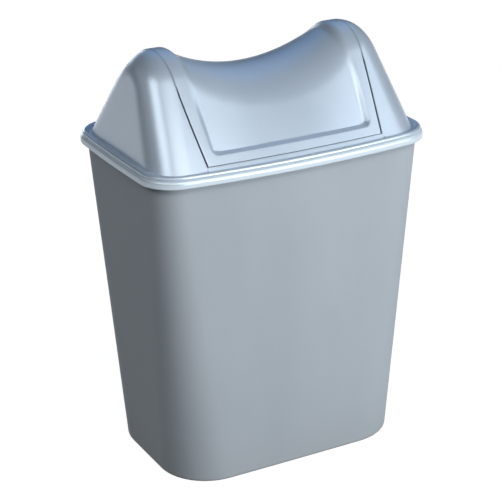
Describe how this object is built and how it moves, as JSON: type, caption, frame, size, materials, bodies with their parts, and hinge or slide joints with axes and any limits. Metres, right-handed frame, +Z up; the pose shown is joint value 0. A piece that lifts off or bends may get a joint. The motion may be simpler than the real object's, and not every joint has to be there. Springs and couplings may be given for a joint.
{
  "type": "swing-lid wastebasket",
  "caption": "Tapered rectangular bin with a rolled rim, a lift-off hood and a saddle-topped flap that swings on pins to take rubbish from either side.",
  "frame": {"origin": "on the floor under the middle of the bucket", "axes": "+Z up, X along the long side, the front long side faces -Y, +Y to the back"},
  "size_m": [0.3618, 0.2544, 0.5029],
  "materials": {
    "body_plastic": "fine matt texture, silver-grey with metallic pigment",
    "lid_plastic": "satin moulding, silver-grey with metallic pigment",
    "pin_plastic": "plain moulded"
  },
  "bodies": {
    "bucket": {"bin_body": "body_plastic"},
    "lid": {"lid_hood": "lid_plastic"},
    "flap": {"swing_flap": "lid_plastic", "pivot_pin_left": "pin_plastic", "pivot_pin_right": "pin_plastic"}
  },
  "joints": [
    {"name": "lid_lift", "type": "slide", "parent": "bucket", "child": "lid", "axis": [0, 0, 1], "range_m": [0, 0.15]},
    {"name": "flap_swing", "type": "hinge", "parent": "lid", "child": "flap", "pos_m": [0, 0, 0.4665], "axis": [1, 0, 0], "range_deg": [-70, 70]}
  ]
}
